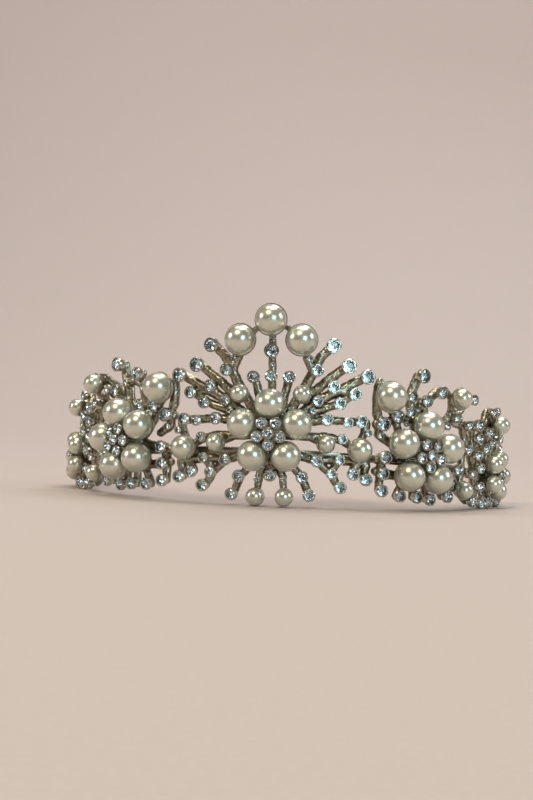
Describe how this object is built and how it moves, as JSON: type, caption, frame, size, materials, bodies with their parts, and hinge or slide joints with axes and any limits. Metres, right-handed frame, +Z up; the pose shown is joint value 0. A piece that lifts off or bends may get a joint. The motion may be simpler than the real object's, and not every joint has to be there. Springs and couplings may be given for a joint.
{
  "type": "bridal tiara",
  "caption": "C-shaped bridal tiara of five cast coral-like branch sprays, each round a pearl flower, set with round stones in cups and joined to a curved back bar with a hair loop at each end.",
  "frame": {"origin": "on the floor that the tiara stands on, under the middle of its outline", "axes": "+Z up, -Y to the front where the tallest spray is, +X to the left hand of someone who wears it, which is the right of someone who faces it"},
  "size_m": [0.162, 0.0878, 0.0658],
  "materials": {
    "antique_silver": "cast white metal with a worn antique silver plate, warm, satin to bright",
    "dark_silver": "the same plate, darkened in the bowls behind the pearls",
    "cup_silver": "bright rims of the stone cups, lightly tarnished at the foot",
    "ivory_pearl": "glass pearl with an ivory to grey-green nacre coat, strong gloss",
    "foiled_crystal": "faceted clear round stone with a silver foil back, very bright and dark in turn"
  },
  "bodies": {
    "root": {"center_frame": "antique_silver", "left_side_frame": "antique_silver", "right_side_frame": "antique_silver", "left_end_frame": "antique_silver", "right_end_frame": "antique_silver", "back_bar": "antique_silver", "center_flower_pearls": "ivory_pearl", "left_side_flower_pearls": "ivory_pearl", "right_side_flower_pearls": "ivory_pearl", "left_end_flower_pearls": "ivory_pearl", "right_end_flower_pearls": "ivory_pearl", "crest_pearl": "ivory_pearl", "left_crest_pearl": "ivory_pearl", "right_crest_pearl": "ivory_pearl", "left_upper_bud_pearl": "ivory_pearl", "right_upper_bud_pearl": "ivory_pearl", "left_lower_bud_pearl": "ivory_pearl", "right_lower_bud_pearl": "ivory_pearl", "left_inner_bud_pearl": "ivory_pearl", "right_inner_bud_pearl": "ivory_pearl", "left_link_pearl": "ivory_pearl", "right_link_pearl": "ivory_pearl", "left_shoulder_pearl": "ivory_pearl", "right_shoulder_pearl": "ivory_pearl", "left_spray_pearl": "ivory_pearl", "right_spray_pearl": "ivory_pearl", "left_low_pearl": "ivory_pearl", "right_low_pearl": "ivory_pearl", "left_end_top_pearl": "ivory_pearl", "right_end_top_pearl": "ivory_pearl", "center_flower_bowls": "dark_silver", "left_side_flower_bowls": "dark_silver", "right_side_flower_bowls": "dark_silver", "left_end_bowls": "dark_silver", "right_end_bowls": "dark_silver", "crest_bowls": "dark_silver", "center_bud_bowls": "dark_silver", "left_side_pearl_bowls": "dark_silver", "right_side_pearl_bowls": "dark_silver", "center_heart": "cup_silver", "left_side_heart": "cup_silver", "right_side_heart": "cup_silver", "left_end_heart": "cup_silver", "right_end_heart": "cup_silver", "center_cups": "cup_silver", "left_side_cups": "cup_silver", "right_side_cups": "cup_silver", "left_end_cups": "cup_silver", "right_end_cups": "cup_silver", "center_stones": "foiled_crystal", "left_side_stones": "foiled_crystal", "right_side_stones": "foiled_crystal", "left_end_stones": "foiled_crystal", "right_end_stones": "foiled_crystal", "left_hair_loop": "antique_silver", "right_hair_loop": "antique_silver"}
  },
  "joints": []
}
